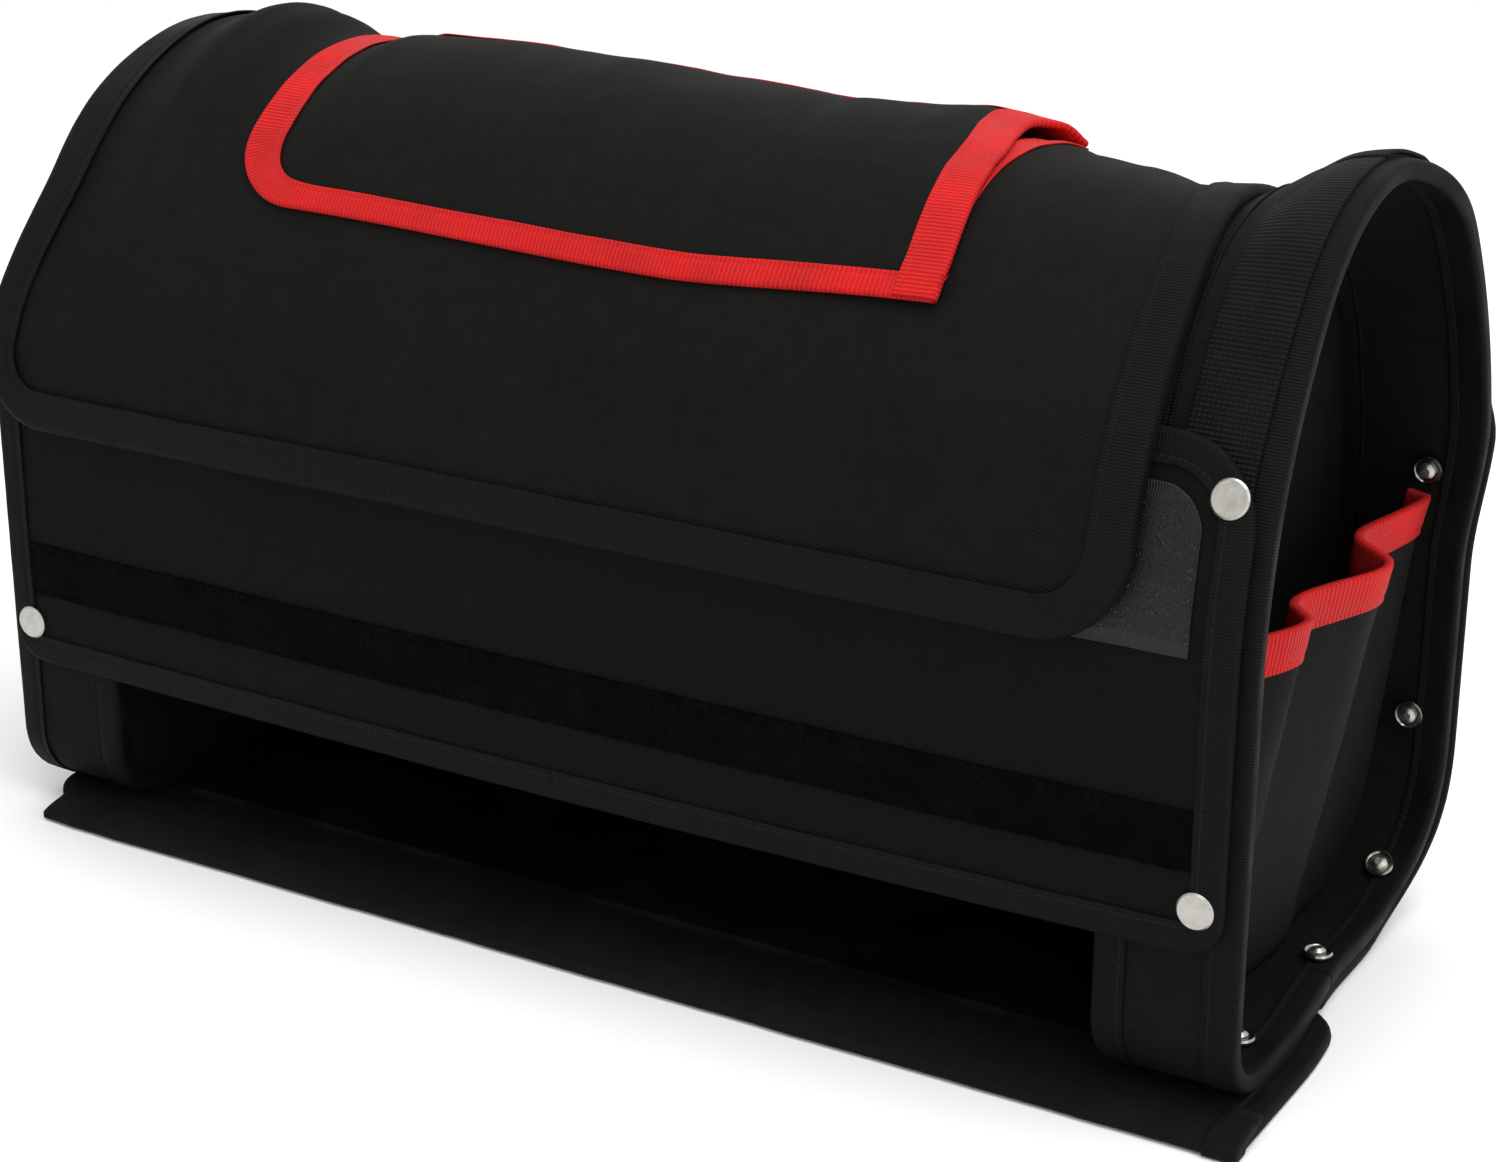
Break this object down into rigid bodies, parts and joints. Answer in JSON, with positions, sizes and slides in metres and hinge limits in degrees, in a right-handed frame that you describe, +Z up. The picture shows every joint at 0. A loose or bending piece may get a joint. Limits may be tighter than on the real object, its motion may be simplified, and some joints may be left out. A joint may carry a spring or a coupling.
{
  "type": "tool bag",
  "caption": "Open-ended black fabric tool bag: stiff end hoops, domed lid hinged at the back, pleated end pockets and a drop-front flap folded under it.",
  "frame": {"origin": "on the floor, halfway between the two hoops and on the hoops' own middle plane", "axes": "+X along the bag to the right end, +Y to the back where the lid is hinged, +Z up"},
  "size_m": [0.5106, 0.2121, 0.3008],
  "materials": {
    "twill": "heavy black polyester twill, slight sheen",
    "black_tape": "ribbed black binding tape",
    "webbing": "coarse woven black webbing",
    "red_tape": "ribbed red binding tape",
    "hook_strip": "rough nylon hook strip, dark grey",
    "pile_strip": "deep black nylon pile strip",
    "board": "black plastic stiffener board",
    "nickel": "nickel-plated steel, slightly dulled"
  },
  "bodies": {
    "bag": {"hoop_left": "twill", "hoop_right": "twill", "hoop_left_outer_binding": "black_tape", "hoop_right_outer_binding": "black_tape", "hoop_left_inner_binding": "black_tape", "hoop_right_inner_binding": "black_tape", "webbing_left": "webbing", "webbing_right": "webbing", "end_wall_left": "twill", "end_wall_right": "twill", "end_pocket_left": "twill", "end_pocket_right": "twill", "end_pocket_tape_left": "red_tape", "end_pocket_tape_right": "red_tape", "front_panel": "twill", "front_panel_binding": "black_tape", "front_hook_strip": "hook_strip", "front_loop_strip": "pile_strip", "back_panel": "twill", "back_panel_binding": "black_tape", "base_binding": "black_tape", "floor_cloth": "twill", "base_board": "board", "front_rivets": "nickel", "back_rivets": "nickel", "floor_rivets": "nickel", "rivet_rings": "nickel", "lid_roll_seam": "black_tape"},
    "lid": {"lid": "twill", "lid_binding": "black_tape", "lid_strip": "pile_strip", "lid_pocket": "twill", "lid_pocket_tape": "red_tape", "lid_under_tape": "red_tape"},
    "flap": {"flap": "twill", "flap_binding": "black_tape", "flap_strip": "hook_strip", "flap_roll_seam": "black_tape"}
  },
  "joints": [
    {"name": "lid_hinge", "type": "hinge", "parent": "bag", "child": "lid", "pos_m": [0, 0.09374, 0.2079], "axis": [-1, 0, 0], "range_deg": [0, 180]},
    {"name": "flap_hinge", "type": "hinge", "parent": "bag", "child": "flap", "pos_m": [0, -0.1066, 0.004], "axis": [-1, 0, 0], "range_deg": [0, 270]}
  ]
}
